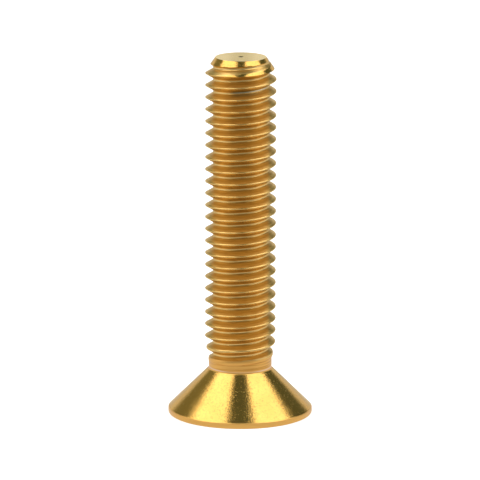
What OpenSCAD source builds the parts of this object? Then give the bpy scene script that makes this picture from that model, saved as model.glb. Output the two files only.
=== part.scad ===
// Countersunk socket machine screw with a full-length metric thread.
// The flat head face lies on z = 0, the axis is z, and the shank points up.
// All sizes are in millimetres, all angles in degrees.

/* [Overall] */
// Length from the flat head face to the end of the shank
length = 29.83; // [20:0.01:40]

/* [Head] */
// Diameter of the head at its rim
head_d = 11.88; // [10.5:0.02:13.5]
// Height of the rim band, up to where the cone would meet it
rim_h = 0.47; // [0.3:0.01:0.8]
// Included angle of the countersunk cone
cone_angle = 90; // [80:1:100]
// Radius of the edge between the head face and the rim
face_edge_r = 0.16; // [0.05:0.01:0.2]
// Radius of the edge between the rim and the cone
cone_edge_r = 0.07; // [0.02:0.01:0.1]

/* [Neck] */
// Diameter of the plain neck under the head
neck_d = 5.2; // [4.9:0.01:5.5]
// Length of the plain neck between the cone and the first thread
neck_l = 0.53; // [0.4:0.01:1.5]
// Radius of the fillet between the cone and the neck
neck_fillet_r = 0.2; // [0.1:0.01:0.4]

/* [Thread] */
// Outside diameter of the thread
thread_d = 5.83; // [5.6:0.01:6.2]
// Rise of the thread in one turn
pitch = 1; // [0.8:0.05:1.25]
// Width of the flat left on the crest
crest_flat = 0.06; // [0.03:0.01:0.12]
// Radius of the rounded root between two flanks
root_round_r = 0.23; // [0.15:0.01:0.3]
// Height over which the crest grows out of the neck
runout_l = 1.8; // [0.8:0.1:3]
// Height from the neck's end to where the groove starts
groove_lead = 0.2; // [0.1:0.05:0.8]
// Height over which the groove reaches its full depth
groove_fade = 0.4; // [0.2:0.05:1]

/* [Tip] */
// Diameter of the flat end face
tip_face_d = 4.18; // [3.6:0.02:4.6]
// Angle between the chamfer and the axis
tip_chamfer_angle = 35.5; // [25:0.5:50]
// Diameter of the centre mark left in the end face
centre_mark_d = 0.26; // [0.1:0.02:0.6]
// Depth of the centre mark
centre_mark_depth = 0.1; // [0.05:0.01:0.2]

/* [Socket] */
// Width of the hexagon socket across its flats
socket_w = 4; // [3:0.1:4.5]
// Depth of the hexagon
socket_depth = 2.5; // [1.5:0.1:2.6]
// Included angle of the drilled cone at the bottom of the socket
socket_floor_angle = 140; // [118:1:160]
// Gap between the drilled hole under the hexagon and its flats
drill_gap = 0.06; // [0.03:0.01:0.2]
// Width of the 45 degree chamfer around the socket's corners
socket_mouth = 0.12; // [0.05:0.01:0.3]

/* [Hidden] */
$fn = 72;
// Steps in the arcs that round the rim's two edges
face_edge_n = 4;
cone_edge_n = 2;

// Metric threads have flanks at 60 degrees to each other
flank_angle = 60;
flank_slope = tan(flank_angle / 2);
gold = [0.82, 0.6, 0.26];
// How far a cutting shape stands clear of what it cuts
clear = 1;
// The neck stands this much proud of the thread's foot, as on a rolled thread
foot_step = 0.03;
// Most triangles that the thread may take, and the most steps in one turn
thread_facets = 8200;
finest_steps = 36;

head_r = head_d / 2;
neck_r = neck_d / 2;
cone_half = cone_angle / 2;
cone_top = rim_h + (head_r - neck_r) / tan(cone_half);
neck_top = cone_top + neck_l;

crest_r = thread_d / 2;
thread_depth = (pitch - crest_flat) / (2 * flank_slope) - root_round_r;
root_r = crest_r - thread_depth;
foot_r = neck_r - foot_step;

// One pitch of the thread's section: height above the crest's middle, radius.
// The root is an arc that leaves both flanks as a tangent.
root_dz = root_round_r * cos(flank_angle / 2);
root_dr = root_round_r * (1 - sin(flank_angle / 2));
section = [
    [-crest_flat / 2, crest_r],
    [crest_flat / 2, crest_r],
    [pitch / 2 - root_dz, root_r + root_dr],
    [pitch / 2, root_r],
    [pitch / 2 + root_dz, root_r + root_dr]
];
section_n = len(section);
// A lower crest leaves this much room to the root's arc on each side
widest_crest = pitch - 2 * (root_dz + crest_flat);

// The thread starts and ends on whole pitches, buried in the neck and past the tip
thread_z0 = (ceil(neck_top / pitch) - 2) * pitch;
turns = ceil((length - thread_z0 + crest_flat) / pitch);
steps = min(finest_steps, floor(thread_facets / (2 * section_n * turns)));
thread_n = turns * steps;

// Share of a growth that starts at height from and takes height over, reached at height z
function grown(z, from, over) = min(1, max(0, (z - from) / over));

// Height above the crest's middle and radius of a crest that still lacks some height.
// Both flanks stay where they are, so the lower crest is wider.
function low_crest(dz, lack) =
    [sign(dz) * min(abs(dz) + lack * flank_slope, widest_crest / 2), crest_r - lack];

// The section's point j, for a crest whose middle is at height z
function section_point(z, j) =
    section[j][1] == crest_r
    ? low_crest(section[j][0], (1 - grown(z, neck_top, runout_l)) * (crest_r - foot_r))
    : let (share = grown(z + pitch / 2, neck_top + groove_lead, groove_fade))
        [section[j][0], foot_r + share * (section[j][1] - foot_r)];

// Point after i steps along the helix, at place j of the section
function helix_point(i, j) =
    let (crest_z = thread_z0 + pitch * i / steps,
         p = section_point(crest_z, j),
         a = 360 * i / steps)
    [p[1] * cos(a), p[1] * sin(a), crest_z + p[0]];

// Number of that point; the end of one section is the start of the next turn's
function helix_index(i, j) =
    j == section_n ? helix_index(i + steps, 0)
    : i <= thread_n ? i * section_n + j
    : (thread_n + 1) * section_n + i - thread_n - 1;

// Solid helical thread whose two ends are closed by fans from the axis
module helical_thread() {
    points = [
        for (i = [0:thread_n]) for (j = [0:section_n - 1]) helix_point(i, j),
        for (i = [thread_n + 1:thread_n + steps]) helix_point(i, 0),
        [0, 0, thread_z0 + pitch / 2],
        [0, 0, thread_z0 + (turns + 1 / 2) * pitch]
    ];
    bottom = len(points) - 2;
    top = len(points) - 1;
    faces = [
        for (i = [0:thread_n - 1]) for (j = [0:section_n - 1]) each [
            [helix_index(i, j), helix_index(i, j + 1), helix_index(i + 1, j + 1)],
            [helix_index(i, j), helix_index(i + 1, j + 1), helix_index(i + 1, j)]
        ],
        for (i = [0:steps - 1]) [bottom, helix_index(i, 0), helix_index(i + 1, 0)],
        for (j = [0:section_n - 1]) [bottom, helix_index(0, j + 1), helix_index(0, j)],
        for (i = [thread_n:thread_n + steps - 1])
            [top, helix_index(i + 1, 0), helix_index(i, 0)],
        for (j = [0:section_n - 1])
            [top, helix_index(thread_n, j), helix_index(thread_n, j + 1)]
    ];
    polyhedron(points, faces);
}

// What the lathe takes off at the tip: all above the end face and outside the chamfer
module tip_waste() {
    far_r = crest_r + clear;
    tip_r = tip_face_d / 2;
    far_z = thread_z0 + (turns + 1) * pitch + clear;
    rotate_extrude()
        polygon([
            [0, length],
            [tip_r, length],
            [far_r, length - (far_r - tip_r) / tan(tip_chamfer_angle)],
            [far_r, far_z],
            [0, far_z]
        ]);
}

module threaded_shank() {
    difference() {
        helical_thread();
        tip_waste();
    }
}

// Points of an arc around a centre, from one angle to another
function arc(centre, r, from, to, n) = [
    for (i = [0:n])
        let (a = from + (to - from) * i / n)
        centre + r * [cos(a), sin(a)]
];

// Turned blank of the head and neck, with rounded rim edges and a fillet
module head_and_neck() {
    // The cone leans back from the rim by this angle
    lean = 90 - cone_half;
    edge_t = cone_edge_r * tan(lean / 2);
    fillet_t = neck_fillet_r * tan(lean / 2);
    rotate_extrude()
        difference() {
            polygon([
                [0, 0],
                each arc([head_r - face_edge_r, face_edge_r], face_edge_r, -90, 0, face_edge_n),
                each arc([head_r - cone_edge_r, rim_h - edge_t], cone_edge_r, 0, lean, cone_edge_n),
                [neck_r + fillet_t * sin(cone_half), cone_top - fillet_t * cos(cone_half)],
                [neck_r, cone_top + fillet_t],
                [neck_r, neck_top],
                [0, neck_top]
            ]);
            translate([neck_r + neck_fillet_r, cone_top + fillet_t]) circle(neck_fillet_r);
        }
}

// Hexagon with a drilled floor and a chamfered mouth
module socket() {
    flat_r = socket_w / 2;
    corner_r = flat_r / cos(30);
    mouth_r = corner_r + socket_mouth;
    drill_r = flat_r - drill_gap;
    translate([0, 0, -clear])
        cylinder(h = socket_depth + clear, r = corner_r, $fn = 6);
    rotate_extrude()
        polygon([
            [0, 0],
            [drill_r, 0],
            [drill_r, socket_depth],
            [0, socket_depth + drill_r / tan(socket_floor_angle / 2)]
        ]);
    translate([0, 0, -clear])
        cylinder(h = mouth_r - drill_r + clear, r1 = mouth_r + clear, r2 = drill_r);
}

module centre_mark() {
    rise = centre_mark_depth + clear;
    translate([0, 0, length - centre_mark_depth])
        cylinder(h = rise, r1 = 0, r2 = centre_mark_d / 2 * rise / centre_mark_depth);
}

module screw() {
    color(gold)
        difference() {
            union() {
                head_and_neck();
                threaded_shank();
            }
            socket();
            centre_mark();
        }
}

screw();
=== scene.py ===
# Countersunk machine screw standing on its head: finished mesh, metal finishes, studio and camera.
import math

import bmesh
import bpy
from mathutils import Matrix, Vector


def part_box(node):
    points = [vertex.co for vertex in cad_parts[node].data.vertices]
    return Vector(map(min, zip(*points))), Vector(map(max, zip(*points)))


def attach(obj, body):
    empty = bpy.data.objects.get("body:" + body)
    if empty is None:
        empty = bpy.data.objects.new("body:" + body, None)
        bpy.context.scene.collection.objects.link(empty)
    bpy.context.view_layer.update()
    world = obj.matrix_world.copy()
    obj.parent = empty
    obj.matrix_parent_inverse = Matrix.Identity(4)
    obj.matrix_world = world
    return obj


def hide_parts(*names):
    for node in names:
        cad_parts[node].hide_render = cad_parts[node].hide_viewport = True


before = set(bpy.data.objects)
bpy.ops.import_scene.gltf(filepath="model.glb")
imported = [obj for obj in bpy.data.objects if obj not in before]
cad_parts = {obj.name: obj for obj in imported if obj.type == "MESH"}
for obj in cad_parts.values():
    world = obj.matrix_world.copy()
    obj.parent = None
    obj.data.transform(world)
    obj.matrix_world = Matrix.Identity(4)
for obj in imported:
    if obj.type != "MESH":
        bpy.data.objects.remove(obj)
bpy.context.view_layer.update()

mm = 0.001
weldGap = 0.001 * mm           # points closer than this become one
sharpAngle = math.radians(38)  # edges sharper than this keep a hard shade
print("frame loaded")


# Node trees: expressions on sockets and one method for every other node

class Flow:
    # The value of one socket; operators on it add Math nodes to the same tree
    def __init__(self, graph, socket):
        self.graph = graph
        self.socket = socket

    def math(self, operation, *others):
        operands = dict(enumerate((self, *others)))
        return self.graph.add("ShaderNodeMath", {"operation": operation}, operands)

    def __add__(self, other):
        return self.math("ADD", other)

    def __sub__(self, other):
        return self.math("SUBTRACT", other)

    def __mul__(self, other):
        return self.math("MULTIPLY", other)

    def __truediv__(self, other):
        return self.math("DIVIDE", other)

    __radd__ = __add__
    __rmul__ = __mul__

    def __neg__(self):
        return self * -1.0

    def __rsub__(self, other):
        return -self + other

    def __rtruediv__(self, other):
        return self.math("POWER", -1.0) * other

    def __abs__(self):
        return self.math("ABSOLUTE")

    def least(self, other):
        return self.math("MINIMUM", other)

    def most(self, other):
        return self.math("MAXIMUM", other)

    def within(self, low, high):
        return self.most(low).least(high)

    # 1 above the limit and 0 below it
    def above(self, limit):
        return self.math("GREATER_THAN", limit)

    # Smooth step from 0 at low to 1 at high
    def rise(self, low, high):
        settings = {"interpolation_type": "SMOOTHSTEP"}
        sockets = {"Value": self, "From Min": low, "From Max": high}
        return self.graph.add("ShaderNodeMapRange", settings, sockets)


class Graph:
    # A node tree under construction
    def __init__(self, tree):
        self.tree = tree
        tree.nodes.clear()

    # Adds a node: first its settings, then the values or links of its sockets
    def add(self, kind, settings=None, sockets=None, out=0):
        node = self.tree.nodes.new(kind)
        for name, value in (settings or {}).items():
            setattr(node, name, value)
        for key, value in (sockets or {}).items():
            if isinstance(value, Flow):
                self.tree.links.new(value.socket, node.inputs[key])
            else:
                node.inputs[key].default_value = value
        return Flow(self, node.outputs[out]) if node.outputs else None

    def outputOf(self, flow, name):
        return Flow(self, flow.socket.node.outputs[name])

    def vector(self, x, y, z):
        return self.add("ShaderNodeCombineXYZ", None, {"X": x, "Y": y, "Z": z})

    def split(self, vector):
        x = self.add("ShaderNodeSeparateXYZ", None, {"Vector": vector})
        return x, self.outputOf(x, "Y"), self.outputOf(x, "Z")

    # Sockets 6 and 7 are the node's two colours, and output 2 their mixture
    def mixColor(self, factor, first, second):
        sockets = {"Factor": factor, 6: first, 7: second}
        return self.add("ShaderNodeMix", {"data_type": "RGBA"}, sockets, out=2)


def distance(x, y):
    return (x * x + y * y).math("SQRT")


def newObject(name, data):
    made = bpy.data.objects.new(name, data)
    bpy.context.scene.collection.objects.link(made)
    return made


def newMaterial(name):
    material = bpy.data.materials.new(name)
    material.use_nodes = True
    return material, Graph(material.node_tree)


# Thread: one helical strip, folded over each turn and trimmed by the tip's chamfer

thread = {
    "pitch": 1.0 * mm,
    "crestRadius": 2.915 * mm,
    "crestRounding": 0.06 * mm,  # radius of the crest
    "rootRounding": 0.16 * mm,   # radius of the root
    "neckRadius": 2.6 * mm,
    "ringHeight": 4.05 * mm,     # where the strip and the turned neck are joined
    "neckTop": 4.34 * mm,        # where the crest starts to grow out of the neck
    "runOut": 1.8 * mm,          # height over which it grows
    "grooveStart": 4.6 * mm,     # where the groove starts
    "grooveFade": 0.35 * mm,     # height over which it reaches its full depth
    "turnedTop": 4.95 * mm,      # highest part of the fine-turned finish
    "turnedSlack": 0.004 * mm,   # depth at which the groove has taken that finish off
    "firstCrest": 3.0 * mm,      # height of the crest on the +X side, inside the neck
    "stepsPerTurn": 96,
    "crestRows": 3,              # rows over half a crest, a flank and half a root
    "flankRows": 8,
    "rootRows": 4,
}

tip = {
    "faceRadius": 2.09 * mm,
    "chamferAngle": math.radians(35.5),  # from the axis
    "edgeRounding": 0.03 * mm,           # radius between the end face and the chamfer
    "cutRounding": 0.035 * mm,           # softness of the edge between chamfer and flank
    "markRadius": 0.13 * mm,
    "markDepth": 0.1 * mm,
}

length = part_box("screw")[1].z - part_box("screw")[0].z
flankAngle = math.radians(30)              # from the plane square to the axis
turnAngle = math.radians(90) - flankAngle  # over which half a crest or root is rounded
edgeDrop = tip["edgeRounding"] * (1 - math.sin(tip["chamferAngle"]))


def threadSizes():
    pitch = thread["pitch"]
    arcs = thread["crestRounding"] + thread["rootRounding"]
    halfRows = thread["crestRows"] + thread["flankRows"] + thread["rootRows"]
    depth = pitch / 2 / math.tan(flankAngle) - arcs * (1 / math.sin(flankAngle) - 1)
    turns = math.ceil((length - thread["firstCrest"]) / pitch + 0.5)
    return {
        "Turns": turns,
        "Steps": turns * thread["stepsPerTurn"] + 1,
        "Rows": 2 * halfRows + 1,
        "Pitch": pitch,
        "Crest Radius": thread["crestRadius"],
        "Crest Rounding": thread["crestRounding"],
        "Root Rounding": thread["rootRounding"],
        "Crest Share": thread["crestRows"] / halfRows,
        "Root Share": thread["rootRows"] / halfRows,
        "Flank Height": pitch / 2 - arcs * math.sin(turnAngle),
        "Flank Depth": depth - arcs * (1 - math.cos(turnAngle)),
        "First Crest": thread["firstCrest"],
        "Neck Radius": thread["neckRadius"],
        "Neck Top": thread["neckTop"],
        "Run-out": thread["runOut"],
        "Groove Start": thread["grooveStart"],
        "Groove Fade": thread["grooveFade"],
        "Turned Top": thread["turnedTop"],
        "Turned Slack": thread["turnedSlack"],
        "Low Ring": thread["ringHeight"],
        "High Ring": length - edgeDrop,
        "Length": length,
        "Face Radius": tip["faceRadius"],
        "Chamfer Slope": math.tan(tip["chamferAngle"]),
        "Cut Rounding": tip["cutRounding"],
    }


# Starts a tree that has one named input for each size and each finish
def openTree(name, sizes, finishes):
    tree = bpy.data.node_groups.new(name, "GeometryNodeTree")
    graph = Graph(tree)
    tree.interface.new_socket("Geometry", in_out="OUTPUT", socket_type="NodeSocketGeometry")
    for size, value in sizes.items():
        kind = "NodeSocketInt" if isinstance(value, int) else "NodeSocketFloat"
        tree.interface.new_socket(size, in_out="INPUT", socket_type=kind)
    for finish in finishes:
        tree.interface.new_socket(finish, in_out="INPUT", socket_type="NodeSocketMaterial")
    entry = tree.nodes.new("NodeGroupInput")
    return graph, {socket.name: Flow(graph, socket) for socket in entry.outputs if socket.name}


# How far a row of the section is from the crest's middle, along the axis and inwards.
# A crest that lacks some height leaves both flanks where they are, so it is wider.
def sectionRow(given, share, lack):
    lackHeight = lack * math.tan(flankAngle)
    onCrest = (share / given["Crest Share"]).least(1.0)
    crestTurn = onCrest * turnAngle
    rootTurn = ((1.0 - share) / given["Root Share"]).least(1.0) * turnAngle
    flankSpan = 1.0 - given["Crest Share"] - given["Root Share"]
    onFlank = ((share - given["Crest Share"]) / flankSpan).within(0.0, 1.0)
    along = (given["Crest Rounding"] * crestTurn.math("SINE") + lackHeight * onCrest
             + (given["Flank Height"] - lackHeight) * onFlank
             + given["Root Rounding"] * (math.sin(turnAngle) - rootTurn.math("SINE")))
    inwards = (given["Crest Rounding"] * (1.0 - crestTurn.math("COSINE")) + lack
               + (given["Flank Depth"] - lack) * onFlank
               + given["Root Rounding"] * (rootTurn.math("COSINE") - math.cos(turnAngle)))
    return along, inwards


def helicalThread(sizes, finishes):
    graph, given = openTree("helicalThread", sizes, finishes)

    # A flat grid, one unit square: x runs along the helix, y over one pitch of the section
    grid = graph.add("GeometryNodeMeshGrid", None, {
        "Size X": 1.0, "Size Y": 1.0,
        "Vertices X": given["Steps"], "Vertices Y": given["Rows"]})
    onHelix, onSection, _ = graph.split(graph.add("GeometryNodeInputPosition"))
    turn = (onHelix + 0.5) * given["Turns"]
    row = onSection * 2.0
    side = row.math("SIGN")
    share = abs(row)  # 0 at the crest, 1 at the root

    # The crest's middle sets how much height the crest still lacks over the run-out
    middle = given["First Crest"] + given["Pitch"] * turn
    grown = ((middle - given["Neck Top"]) / given["Run-out"]).within(0.0, 1.0)
    lack = (1.0 - grown) * (given["Crest Radius"] - given["Neck Radius"])
    along, inwards = sectionRow(given, share, lack)

    # Rows past either end are pressed together there, into one level ring
    level = (middle + side * along).within(given["Low Ring"], given["High Ring"])
    full = given["Crest Radius"] - inwards
    rootMiddle = middle + side * given["Pitch"] * 0.5
    groove = ((rootMiddle - given["Groove Start"]) / given["Groove Fade"]).within(0.0, 1.0)
    formed = full + (1.0 - groove) * (given["Neck Radius"] - full).most(0.0)
    chamfer = given["Face Radius"] + given["Chamfer Slope"] * (given["Length"] - level)
    radius = formed.math("SMOOTH_MIN", chamfer, given["Cut Rounding"])
    angle = turn * math.tau
    shape = graph.vector(radius * angle.math("COSINE"), radius * angle.math("SINE"), level)

    # What the lathe took off at the tip, and what of the neck's surface the groove left
    uncut = (formed - given["Neck Radius"] + given["Turned Slack"]).above(0.0)
    onNeck = uncut * (given["Turned Top"] - level).above(0.0)
    marked = graph.add("GeometryNodeCaptureAttribute", None, {"Geometry": grid})
    capture = marked.socket.node
    for name, flow in (("Cut", formed - chamfer), ("On Neck", onNeck)):
        capture.capture_items.new("FLOAT", name)
        graph.tree.links.new(flow.socket, capture.inputs[name])

    moved = graph.add("GeometryNodeSetPosition", None, {"Geometry": marked, "Position": shape})
    welded = graph.add("GeometryNodeMergeByDistance", None, {"Geometry": moved, "Distance": weldGap})
    real = graph.add("GeometryNodeRealizeInstances", None, {"Geometry": welded})

    # Each face takes its finish by the average of its corners
    finished = graph.add("GeometryNodeSetMaterial", None, {
        "Geometry": real, "Material": given["Thread Finish"]})
    for finish, attribute, limit in (("Chamfer Finish", "Cut", 0.0), ("Neck Finish", "On Neck", 0.7)):
        finished = graph.add("GeometryNodeSetMaterial", None, {
            "Geometry": finished, "Material": given[finish],
            "Selection": graph.outputOf(marked, attribute).above(limit)})
    graph.add("NodeGroupOutput", None, {"Geometry": finished})
    return graph.tree


# Runs the tree on an empty mesh and keeps the result as a plain one
def threadMesh(finishes):
    sizes = threadSizes()
    holder = newObject("threadHolder", bpy.data.meshes.new("threadHolder"))
    modifier = holder.modifiers.new("helicalThread", "NODES")
    modifier.node_group = helicalThread(sizes, finishes)
    inputs = {**sizes, **finishes}
    for item in modifier.node_group.interface.items_tree:
        if item.in_out == "INPUT":
            modifier[item.identifier] = inputs[item.name]
    shown = holder.evaluated_get(bpy.context.evaluated_depsgraph_get())
    mesh = bpy.data.meshes.new_from_object(shown)
    mesh.name = "thread"
    holder.modifiers.clear()
    bpy.data.objects.remove(holder)
    return mesh


# Head, neck and tip: rings of points around the axis, each a radius and a height

head = {
    "rimHeight": 0.47 * mm,    # where the cone would meet the rim
    "faceEdge": 0.16 * mm,     # radius between the head face and the rim
    "coneEdge": 0.07 * mm,     # radius between the rim and the cone
    "coneHalfAngle": math.radians(45),
    "neckFillet": 0.2 * mm,    # radius between the cone and the neck
    "socketWidth": 4.0 * mm,   # across the flats
    "socketDepth": 2.5 * mm,
    "socketMouth": 0.12 * mm,  # chamfer outside the hexagon's corners
    "drillGap": 0.06 * mm,     # from the flats to the drilled floor
    "drillHalfAngle": math.radians(70),
}

# Rows close to both ends keep the shading of a long straight stretch true
stretchShares = (0.01, 0.04, 0.15, 0.35, 0.5, 0.65, 0.85, 0.96, 0.99)


# An arc in count steps, from the first to the last angle in degrees
def arcPoints(centre, radius, first, last, count):
    points = []
    for i in range(count + 1):
        angle = math.radians(first + (last - first) * i / count)
        points.append((centre[0] + radius * math.cos(angle), centre[1] + radius * math.sin(angle)))
    return points


# Points at the given shares of the way from start to end
def between(start, end, shares):
    return [(start[0] + (end[0] - start[0]) * s, start[1] + (end[1] - start[1]) * s) for s in shares]


def tipSections():
    edge = tip["edgeRounding"]
    lean = tip["chamferAngle"]
    edgeStart = tip["faceRadius"] - edge * math.tan((math.radians(90) - lean) / 2)
    dish = [(share * tip["markRadius"], length - depthShare * tip["markDepth"])
            for share, depthShare in ((0.0, 1.0), (0.6, 0.6), (1.0, 0.1), (1.2, 0.0))]
    face = between(dish[-1], (edgeStart, length), (0.1, 0.3, 0.5, 0.7, 0.9, 0.99))
    corner = arcPoints((edgeStart, length - edge), edge, 90, math.degrees(lean), 3)
    return [("endFace", dish + face + corner)]


# Distance from the axis to the hexagon's wall
def hexRadius(angle):
    sixth = math.radians(60)
    return head["socketWidth"] / 2 / math.cos(angle % sixth - sixth / 2)


# The chamfer around the mouth is a 45 degree cone, so its lower edge dips at the flats
def socketRows(mouth):
    drill = head["socketWidth"] / 2 - head["drillGap"]
    depth = head["socketDepth"]
    floorTop = depth + drill / math.tan(head["drillHalfAngle"])
    return [
        (hexRadius, lambda angle: mouth - hexRadius(angle)),
        *((hexRadius, depth * share) for share in (0.3, 0.6, 0.9, 1.0)),
        (drill, depth),
        (0.3 * drill, depth + 0.7 * (floorTop - depth)),
        (0.0, floorTop),
    ]


def headSections():
    radius = (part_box("screw")[1].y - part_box("screw")[0].y) / 2
    neck = thread["neckRadius"]
    lean = math.radians(90) - head["coneHalfAngle"]
    leanDegrees = math.degrees(lean)
    coneTop = head["rimHeight"] + (radius - neck) / math.tan(head["coneHalfAngle"])
    edgeRun = head["coneEdge"] * math.tan(lean / 2)
    filletRun = head["neckFillet"] * math.tan(lean / 2)
    fillet = arcPoints((neck + head["neckFillet"], coneTop + filletRun),
                       head["neckFillet"], 180, 180 + leanDegrees, 5)
    coneEdge = arcPoints((radius - head["coneEdge"], head["rimHeight"] - edgeRun),
                         head["coneEdge"], leanDegrees, 0, 4)
    faceEdge = arcPoints((radius - head["faceEdge"], head["faceEdge"]),
                         head["faceEdge"], 0, -90, 6)
    neckStart = (neck, thread["ringHeight"])
    mouth = hexRadius(0.0) + head["socketMouth"]  # a corner of the hexagon is at angle 0
    return [
        ("neck", [neckStart, *between(neckStart, fillet[0], (0.1, 0.5, 0.9)), *fillet]),
        ("cone", between(fillet[-1], coneEdge[0], stretchShares)),
        ("rim", [*coneEdge, *between(coneEdge[-1], faceEdge[0], (0.2, 0.8)), *faceEdge]),
        ("face", [*between(faceEdge[-1], (mouth, 0.0), stretchShares), (mouth, 0.0)]),
        ("socket", socketRows(mouth)),
    ]


# A point of a ring, whose radius and height may each be a number or depend on the angle
def ringPoint(radius, height, angle):
    reach, level = (value(angle) if callable(value) else value for value in (radius, height))
    return reach * math.cos(angle), reach * math.sin(angle), level


# Turns the sections into one surface, each with the finish that finishOf gives it
def latheMesh(name, sections, finishOf, slots):
    steps = thread["stepsPerTurn"]
    angles = [math.tau * i / steps for i in range(steps)]
    work = bmesh.new()
    previous = None
    for section, rows in sections:
        for radius, height in rows:
            if radius == 0.0:
                ring = [work.verts.new((0.0, 0.0, height))] * steps
            else:
                ring = [work.verts.new(ringPoint(radius, height, angle)) for angle in angles]
            if previous:
                for i in range(steps):
                    loop = [previous[i - 1], previous[i], ring[i], ring[i - 1]]
                    corners = [v for n, v in enumerate(loop) if v not in loop[:n]]
                    work.faces.new(corners).material_index = slots.index(finishOf[section])
            previous = ring
    mesh = bpy.data.meshes.new(name)
    work.to_mesh(mesh)
    work.free()
    for material in slots:
        mesh.materials.append(material)
    return mesh


# Joins shells that close one another into one mesh, each face keeping its finish
def weld(name, meshes, slots):
    work = bmesh.new()
    for mesh in meshes:
        start = len(work.faces)
        work.from_mesh(mesh)
        work.faces.ensure_lookup_table()
        for face in work.faces[start:]:
            face.material_index = slots.index(mesh.materials[face.material_index])
        bpy.data.meshes.remove(mesh)
    bmesh.ops.remove_doubles(work, verts=work.verts, dist=weldGap)
    bmesh.ops.recalc_face_normals(work, faces=work.faces)
    openEdges = sum(not edge.is_manifold for edge in work.edges)
    triangles = sum(len(face.verts) - 2 for face in work.faces)
    print(f"{name}: {triangles} triangles, {openEdges} open edges")
    joined = bpy.data.meshes.new(name)
    work.to_mesh(joined)
    work.free()
    for material in slots:
        joined.materials.append(material)
    joined.shade_smooth()
    joined.set_sharp_from_angle(angle=sharpAngle)
    return newObject(name, joined)


# Finishes: the same gold-coloured coat, worked in different ways

edgeTint = (1.0, 0.95, 0.78, 1.0)  # colour that a finish keeps at grazing angles


# The piece's own coordinates in millimetres
def placeOf(graph):
    spot = graph.add("ShaderNodeTexCoord", out="Object")
    place = graph.add("ShaderNodeVectorMath", {"operation": "SCALE"}, {0: spot, "Scale": 1 / mm})
    x, y, z = graph.split(place)
    return place, x, y, z, distance(x, y)


def noise(graph, vector, scale, detail=2.0, roughness=0.5):
    sockets = {"Vector": vector, "Scale": scale, "Detail": detail, "Roughness": roughness}
    return graph.add("ShaderNodeTexNoise", {"noise_dimensions": "3D"}, sockets)


def bumped(graph, height, depth):
    return graph.add("ShaderNodeBump", None, {"Height": height, "Distance": depth, "Strength": 1.0})


# 1 in the middle of a band and 0 outside it
def bell(value, middle, halfWidth):
    return 1.0 - abs(value - middle).rise(0.0, halfWidth)


# 1 from low to high and 0 outside, with soft ends
def inside(value, low, high, soft):
    return value.rise(low, low + soft) * (1.0 - value.rise(high - soft, high))


def metal(name, finish):
    material, graph = newMaterial(name)
    surface = graph.add("ShaderNodeBsdfPrincipled", None, {"Metallic": 1.0, **finish(graph)})
    graph.add("ShaderNodeOutputMaterial", None, {"Surface": surface})
    return material


# Cone and chamfer: a mirror with fine dull specks

polish = {
    "color": (0.72, 0.41, 0.103, 1.0),
    "lightColor": (0.78, 0.45, 0.117, 1.0),
    "speckColor": (0.42, 0.25, 0.06, 1.0),
    "speckStrength": 0.55,
    "roughness": 0.08,
    "speckRoughness": 0.25,  # what a speck adds to it
    "grainScale": 7.0,       # coarseness of the specks, higher is finer
    "depth": 0.012 * mm,     # of the grain
}


def polished(graph):
    place, x, y, z, away = placeOf(graph)
    grain = noise(graph, place, polish["grainScale"], 3.0, 0.7)
    rings = noise(graph, graph.vector(away * 9.0 + z * 6.0, x * 0.5, y * 0.5), 1.0)
    tone = noise(graph, place, 0.7)
    color = graph.mixColor(tone.rise(0.35, 0.7), polish["color"], polish["lightColor"])
    specks = grain.rise(0.5, 0.7) * polish["speckStrength"]
    return {
        "Base Color": graph.mixColor(specks, color, polish["speckColor"]),
        "Roughness": polish["roughness"] + grain.rise(0.45, 0.75) * polish["speckRoughness"],
        "Specular Tint": edgeTint,
        "Normal": bumped(graph, grain * 0.7 + rings * 0.3, polish["depth"]),
    }


# Thread: satin, with painted shade on the flanks near the root and a painted highlight along one line of
# the root

satinThread = {
    "color": (0.80, 0.52, 0.18, 1.0),
    "lightColor": (0.86, 0.57, 0.20, 1.0),
    "shadeAndStreakColor": (0.55, 0.31, 0.08, 1.0),  # painted shade on the flanks near the root, also the colour of the streaks
    "rootHighlightColor": (1.0, 0.70, 0.30, 1.0),     # painted highlight along the root
    "roughness": 0.32,
    "lineRoughness": 0.08,                   # along crest and root
    "streakRoughness": 0.12,                 # how much it varies from streak to streak
    "streakStrength": 0.4,                   # of the shade colour in the streaks
    "depth": 0.012 * mm,                     # of the streaks
    "rootLine": 0.56,                        # middle of the painted highlight line along the root, in pitches above the crest
    "rootLineWidth": 0.125,                  # half widths of both lines, in pitches
    "crestLineWidth": 0.06,
    "lowerDark": (0.68, 0.90),               # painted shade on both flanks, in pitches above the crest
    "upperDark": (0.18, 0.46),
    "darkFade": 0.05,                        # softness of their ends
}

bareLine = {
    "color": (0.86, 0.88, 0.86, 1.0),         # metal without its coat
    "dullColor": (0.44, 0.47, 0.42, 1.0),
    "scuffedColor": (0.24, 0.15, 0.07, 1.0),  # coat beside it
    "turn": 26.5,                             # where that root starts on the +X side, in pitches
    "start": 247.0,                           # degrees around from the +X side
    "end": 350.0,
    "fade": 14.0,                             # degrees over which both ends set in
    "dullEnd": (276.0, 300.0),                # degrees between which dull metal turns bright
    "level": 0.06,                            # height of its middle above the root, in millimetres
    "halfWidth": 0.09,
    "scuffedLevel": 0.07,                     # the same for the scuffed coat
    "scuffedHalfWidth": 0.16,
    "scuffedStrength": 0.9,
}


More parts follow.
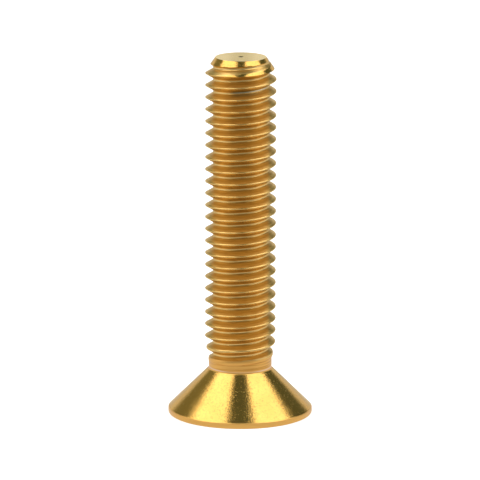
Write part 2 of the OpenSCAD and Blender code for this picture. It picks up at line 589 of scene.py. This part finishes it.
# The colour with one stretch of a root line worn down to the metal
def withBareLine(graph, color, place, around, z):
    pitch = thread["pitch"] / mm
    level = z - around * (pitch / 360.0) - bareLine["turn"] * pitch
    stretch = inside(around, bareLine["start"], bareLine["end"], bareLine["fade"])
    ragged = noise(graph, place, 5.0, 3.0).rise(0.15, 0.45)
    scuffed = bell(level, bareLine["scuffedLevel"], bareLine["scuffedHalfWidth"])
    scuffed = scuffed * stretch * bareLine["scuffedStrength"]
    bare = bell(level, bareLine["level"], bareLine["halfWidth"]).rise(0.1, 0.6)
    bare = bare * stretch * ragged
    bright = around.rise(*bareLine["dullEnd"])
    metalColor = graph.mixColor(bright, bareLine["dullColor"], bareLine["color"])
    color = graph.mixColor(scuffed, color, bareLine["scuffedColor"])
    return graph.mixColor(bare, color, metalColor)


def satin(graph):
    place, x, y, z, away = placeOf(graph)
    angle = y.math("ARCTAN2", x)
    turn = z / (thread["pitch"] / mm) - angle / math.tau
    share = turn.math("FRACT")  # 0 at the crest, 0.5 at the root

    # Fine across a flank and long around the screw
    lines = noise(graph, graph.vector(away * 16.0, x * 0.8, y * 0.8 + z * 1.7), 1.0, 3.0, 0.6)
    streaks = noise(graph, graph.vector(away * 7.0, x * 1.3, y * 1.3 + z * 4.0), 1.0, 3.0, 0.6)
    grain = noise(graph, place, 14.0)
    tone = noise(graph, place, 1.1, 3.0)

    # Painted shade darkens the flanks near the root, and a painted highlight lightens one line of it
    fade = satinThread["darkFade"]
    flankShade = inside(share, *satinThread["lowerDark"], fade)
    flankShade = flankShade.most(inside(share, *satinThread["upperDark"], fade))
    rootHighlightLine = bell(share, satinThread["rootLine"], satinThread["rootLineWidth"])
    color = graph.mixColor(tone.rise(0.3, 0.7), satinThread["color"], satinThread["lightColor"])
    color = graph.mixColor(flankShade * (0.2 + tone * 0.5), color, satinThread["shadeAndStreakColor"])
    color = graph.mixColor(rootHighlightLine * (0.45 + lines * 0.5), color, satinThread["rootHighlightColor"])
    streaked = streaks.rise(0.48, 0.68) * satinThread["streakStrength"]
    color = graph.mixColor(streaked, color, satinThread["shadeAndStreakColor"])
    color = withBareLine(graph, color, place, angle * (180 / math.pi) + 360.0, z)

    # Crest and root line are rubbed smooth
    smooth = rootHighlightLine.most(bell(abs(share - 0.5), 0.5, satinThread["crestLineWidth"]) * 0.8)
    rough = satinThread["roughness"] + smooth * (satinThread["lineRoughness"] - satinThread["roughness"])
    return {
        "Base Color": color,
        "Roughness": rough + (lines - 0.5) * satinThread["streakRoughness"],
        "Specular Tint": edgeTint,
        "Normal": bumped(graph, lines * 0.4 + streaks * 0.6 + grain * 0.3, satinThread["depth"]),
    }


# Neck, rim and head face: fine turned lines, with coarser tool marks around the neck only, and a painted
# highlight in the neck's fillet

turning = {
    "color": (0.85, 0.455, 0.115, 1.0),
    "lightColor": (0.88, 0.49, 0.13, 1.0),
    "markColor": (0.60, 0.28, 0.055, 1.0),
    "filletHighlightColor": (0.95, 0.70, 0.52, 1.0),  # painted highlight in the neck's fillet
    "neckStart": (3.9, 4.1),                 # heights in millimetres over which the marks set in
    "filletHeight": 3.93,                    # height of the painted highlight's middle, in millimetres
    "filletHalfWidth": 0.09,
    "markStrength": 0.8,
    "roughness": 0.25,
    "lineRoughness": 0.15,                   # how much it varies from line to line
    "depth": 0.010 * mm,                     # of the lines
}


def turned(graph):
    place, x, y, z, _ = placeOf(graph)
    lines = noise(graph, graph.vector(z * 18.0, x * 0.5, y * 0.5), 1.0, 3.0, 0.6)
    marks = noise(graph, graph.vector(z * 6.0, x * 0.2, y * 0.2), 1.0, 2.0, 0.7)
    grain = noise(graph, place, 12.0)
    onNeck = z.rise(*turning["neckStart"]) * turning["markStrength"]
    # Painted highlight in the neck's fillet, stronger towards the left and right sides
    filletHighlight = bell(z, turning["filletHeight"], turning["filletHalfWidth"])
    filletHighlight = filletHighlight * (0.25 + abs(x).rise(0.8, 1.8) * 0.5)
    color = graph.mixColor(lines.rise(0.3, 0.7), turning["color"], turning["lightColor"])
    color = graph.mixColor(marks.rise(0.47, 0.62) * onNeck, color, turning["markColor"])
    return {
        "Base Color": graph.mixColor(filletHighlight, color, turning["filletHighlightColor"]),
        "Roughness": turning["roughness"] + lines * turning["lineRoughness"],
        "Normal": bumped(graph, lines * 0.5 + marks * onNeck + grain * 0.2, turning["depth"]),
    }


# End face: faced on the lathe, lighter towards both sides as painted highlight, and dark in the centre
# mark

facing = {
    "color": (0.64, 0.45, 0.08, 1.0),
    # lightColor is the painted highlight towards both sides
    "lightColor": (1.0, 0.77, 0.36, 1.0),
    "centreDarkColor": (0.10, 0.07, 0.04, 1.0),
    "centreDarkEdge": (0.10, 0.24),  # millimetres from the axis over which the dark centre ends
    "roughness": 0.10,
    "grainRoughness": 0.10,     # how much it varies with the grain
    "depth": 0.006 * mm,        # of the rings
}


def faced(graph):
    place, x, y, _, away = placeOf(graph)
    rings = noise(graph, graph.vector(away * 12.0, x * 0.3, y * 0.3), 1.0, 2.0, 0.6)
    grain = noise(graph, place, 8.0, 3.0)
    # Lighter towards the left and right: painted highlight of the turned rings, with some random grain
    light = abs(x).rise(0.2, 1.5) * 0.7 + grain.rise(0.3, 0.7) * 0.3
    color = graph.mixColor(light, facing["color"], facing["lightColor"])
    centreDark = 1.0 - away.rise(*facing["centreDarkEdge"])
    return {
        "Base Color": graph.mixColor(centreDark, color, facing["centreDarkColor"]),
        "Roughness": facing["roughness"] + grain * facing["grainRoughness"],
        "Specular Tint": edgeTint,
        "Normal": bumped(graph, rings * 0.75 + grain * 0.25, facing["depth"]),
    }


# Studio: a pale floor and surround, and on each side a soft box overhead with a wing

studio = {
    "boxHeight": 0.35,            # of all four lamps, whose edges are shares of it
    "boxInner": 0.25,             # half the gap between the two boxes
    "boxOuter": 0.95,             # where the box ends and its wing starts
    "boxFront": 1.1,              # towards the camera, the wings too
    "boxBack": 0.65,
    "wingOuter": 1.8,
    "wingBack": 0.2,
    "boxRadiance": 2.0,
    "wallBack": 0.84,             # radiances of the walls that the metal mirrors
    "wallSide": 1.1,
    "wallFront": 0.5,
    "wallFoot": 0.75,             # share of them at the horizon
    "wallFootTop": 0.2,           # sine of the elevation from which they are full
    "wallTop": (0.24, 0.36),      # sines of the elevations at which the walls end
    "ceiling": (0.12, 0.15, 0.12, 1.0),
    "ceilingLeft": (0.24, 0.26, 0.18, 1.0),
    "floorColor": (0.80, 0.80, 0.80, 1.0),
    "floorSeen": 0.62,            # light that the floor adds for the camera
    "floorNear": 0.81,            # radiances of the floor that the metal mirrors
    "floorBack": 0.6,
    "floorSide": 0.90,
    "floorFront": 0.35,
    "floorFade": (0.018, 0.045),  # distances between which near turns to far
    "floorHalf": 2.0,             # half the floor's width
    "floorGap": 0.002 * mm,       # between the floor and the head face
}


# A level lamp above the screw, with its energy in watts for the wanted radiance
def softBox(name, side, inner, outer, back):
    height = studio["boxHeight"]
    width = (outer - inner) * height
    depth = (studio["boxFront"] + back) * height
    light = bpy.data.lights.new(name, "AREA")
    light.shape = "RECTANGLE"
    light.size = width
    light.size_y = depth
    light.energy = studio["boxRadiance"] * math.pi * width * depth
    middle = (back - studio["boxFront"]) / 2 * height
    newObject(name, light).location = (side * (inner * height + width / 2), middle, height)


# One value behind the screw, one beside it and one in front, by the y of a direction
def aroundScrew(y, back, side, front):
    return side + y.rise(0.0, 0.9) * (back - side) + (-y).rise(0.0, 0.9) * (front - side)


# The camera sees plain white, and the metal mirrors walls and a dark ceiling
def surround():
    world = bpy.data.worlds.new("studio")
    bpy.context.scene.world = world
    world.use_nodes = True
    graph = Graph(world.node_tree)
    x, y, up = graph.split(graph.add("ShaderNodeTexCoord", out="Generated"))
    wall = aroundScrew(y, studio["wallBack"], studio["wallSide"], studio["wallFront"])
    wall = wall * (studio["wallFoot"] + up.rise(0.0, studio["wallFootTop"]) * (1.0 - studio["wallFoot"]))
    ceiling = graph.mixColor((-x).rise(0.1, 0.6), studio["ceiling"], studio["ceilingLeft"])
    room = graph.mixColor(up.rise(*studio["wallTop"]), wall, ceiling)
    isSeen = graph.add("ShaderNodeLightPath", out="Is Camera Ray")
    color = graph.mixColor(isSeen, room, (1.0, 1.0, 1.0, 1.0))
    backdrop = graph.add("ShaderNodeBackground", None, {"Color": color, "Strength": 1.0})
    graph.add("ShaderNodeOutputWorld", None, {"Surface": backdrop})


# The camera sees a matte, near white floor, and the metal mirrors radiances of its own
def floorMaterial():
    material, graph = newMaterial("paleFloor")
    x, y, _ = graph.split(graph.add("ShaderNodeTexCoord", out="Object"))
    away = distance(x, y)
    far = aroundScrew(y / away.most(mm), studio["floorBack"], studio["floorSide"], studio["floorFront"])
    mirrored = studio["floorNear"] + away.rise(*studio["floorFade"]) * (far - studio["floorNear"])
    isSeen = graph.add("ShaderNodeLightPath", out="Is Camera Ray")
    isGlossy = graph.outputOf(isSeen, "Is Glossy Ray")
    isMirrored = isGlossy.most(graph.outputOf(isSeen, "Is Transmission Ray"))
    matte = graph.add("ShaderNodeBsdfDiffuse", None, {"Color": studio["floorColor"]})
    glow = graph.add("ShaderNodeEmission", None, {"Strength": isSeen * studio["floorSeen"]})
    lit = graph.add("ShaderNodeAddShader", None, {0: matte, 1: glow})
    image = graph.add("ShaderNodeEmission", None, {"Strength": mirrored})
    shown = graph.add("ShaderNodeMixShader", None, {0: isMirrored, 1: lit, 2: image})
    graph.add("ShaderNodeOutputMaterial", None, {"Surface": shown})
    return material


def paleFloor():
    half = studio["floorHalf"]
    corners = [(-half, -half, 0.0), (half, -half, 0.0), (half, half, 0.0), (-half, half, 0.0)]
    mesh = bpy.data.meshes.new("floor")
    mesh.from_pydata(corners, [], [(0, 1, 2, 3)])
    mesh.materials.append(floorMaterial())
    floor = newObject("floor", mesh)
    floor.location.z = -studio["floorGap"]
    return floor


# Camera: fitted to the photograph's outline of the screw, for a square picture

view = {
    "distance": 0.40414,     # from the point it aims at
    "elevation": math.radians(12.597),
    "roll": math.radians(0.135),
    "aim": Vector((-0.00004, 0.0, 0.01453)),
    "focalPixels": 4916.96,  # focal length in pixels of the picture
    "pictureWidth": 480,
    "sensor": 36.0,          # width in millimetres
}


def photoCamera():
    data = bpy.data.cameras.new("photoCamera")
    data.sensor_width = view["sensor"]
    data.lens = view["focalPixels"] / view["pictureWidth"] * view["sensor"]
    data.clip_start = 0.01
    back = Vector((0.0, -math.cos(view["elevation"]), math.sin(view["elevation"])))
    right = Matrix.Rotation(view["roll"], 3, back) @ Vector((1.0, 0.0, 0.0))
    turn = Matrix((right, back.cross(right), back)).transposed().to_4x4()
    camera = newObject("photoCamera", data)
    camera.matrix_world = Matrix.Translation(view["aim"] + back * view["distance"]) @ turn
    bpy.context.scene.camera = camera


photoCamera()
print("camera set")

polishedGold = metal("polishedGold", polished)
satinGold = metal("satinGold", satin)
turnedGold = metal("turnedGold", turned)
facedEnd = metal("facedEnd", faced)
slots = [polishedGold, satinGold, turnedGold, facedEnd]
finishOf = {"endFace": facedEnd, "neck": turnedGold, "cone": polishedGold,
            "rim": turnedGold, "face": turnedGold, "socket": turnedGold}
stripFinish = {"Thread Finish": satinGold, "Chamfer Finish": polishedGold, "Neck Finish": turnedGold}
print("finishes ready")

strip = threadMesh(stripFinish)
print("thread cut")
tipMesh = latheMesh("tip", tipSections(), finishOf, slots)
headMesh = latheMesh("head", headSections(), finishOf, slots)
screw = weld("countersunkScrew", [strip, tipMesh, headMesh], slots)
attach(screw, "root")
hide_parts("screw")
print("screw turned")

surround()
for sideName, side in (("left", -1), ("right", 1)):
    softBox(sideName + "Box", side, studio["boxInner"], studio["boxOuter"], studio["boxBack"])
    softBox(sideName + "Wing", side, studio["boxOuter"], studio["wingOuter"], studio["wingBack"])
paleFloor()
bpy.context.scene.view_settings.view_transform = "Standard"
print("studio lit")
